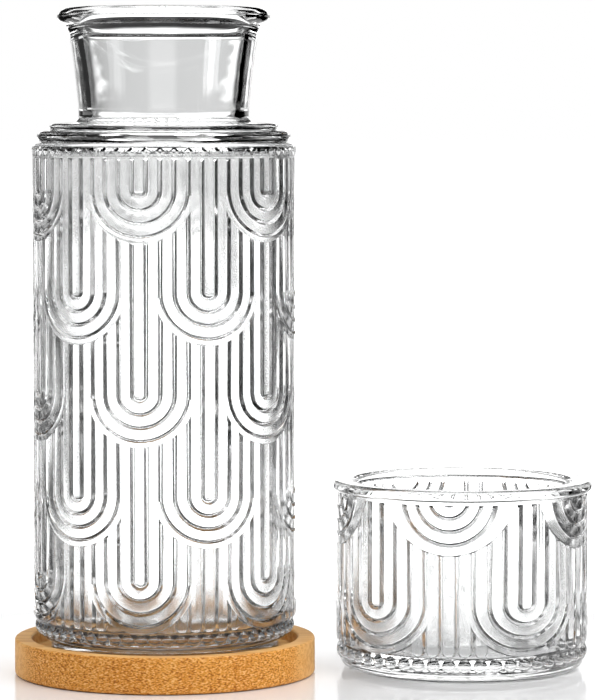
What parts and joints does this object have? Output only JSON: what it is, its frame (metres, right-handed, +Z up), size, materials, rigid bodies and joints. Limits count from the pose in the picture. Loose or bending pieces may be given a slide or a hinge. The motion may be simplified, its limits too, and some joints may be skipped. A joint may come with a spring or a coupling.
{
  "type": "bedside carafe with tumbler",
  "caption": "Thick clear glass carafe with moulded nested arches and a flaring neck, standing in a bamboo coaster, with a matching tumbler that turns over onto the neck as its lid.",
  "frame": {"origin": "centre of the coaster's underside, where the set stands", "axes": "+Z up along the carafe's axis, -Y towards the front, +X towards the tumbler beside it"},
  "size_m": [0.2169, 0.1191, 0.2474],
  "materials": {
    "bamboo": "satin oiled",
    "carafe_glass": "polished clear",
    "tumbler_glass": "polished clear"
  },
  "bodies": {
    "coaster": {"coaster": "bamboo"},
    "carafe": {"carafe": "carafe_glass"},
    "tumbler": {"tumbler": "tumbler_glass"}
  },
  "joints": [
    {"name": "carafe_lift", "type": "slide", "parent": "coaster", "child": "carafe", "axis": [0, 0, 1], "range_m": [0, 0.15]},
    {"name": "tumbler_lift", "type": "slide", "parent": "coaster", "child": "tumbler", "axis": [0, 0, 1], "range_m": [0, 0.26]}
  ]
}
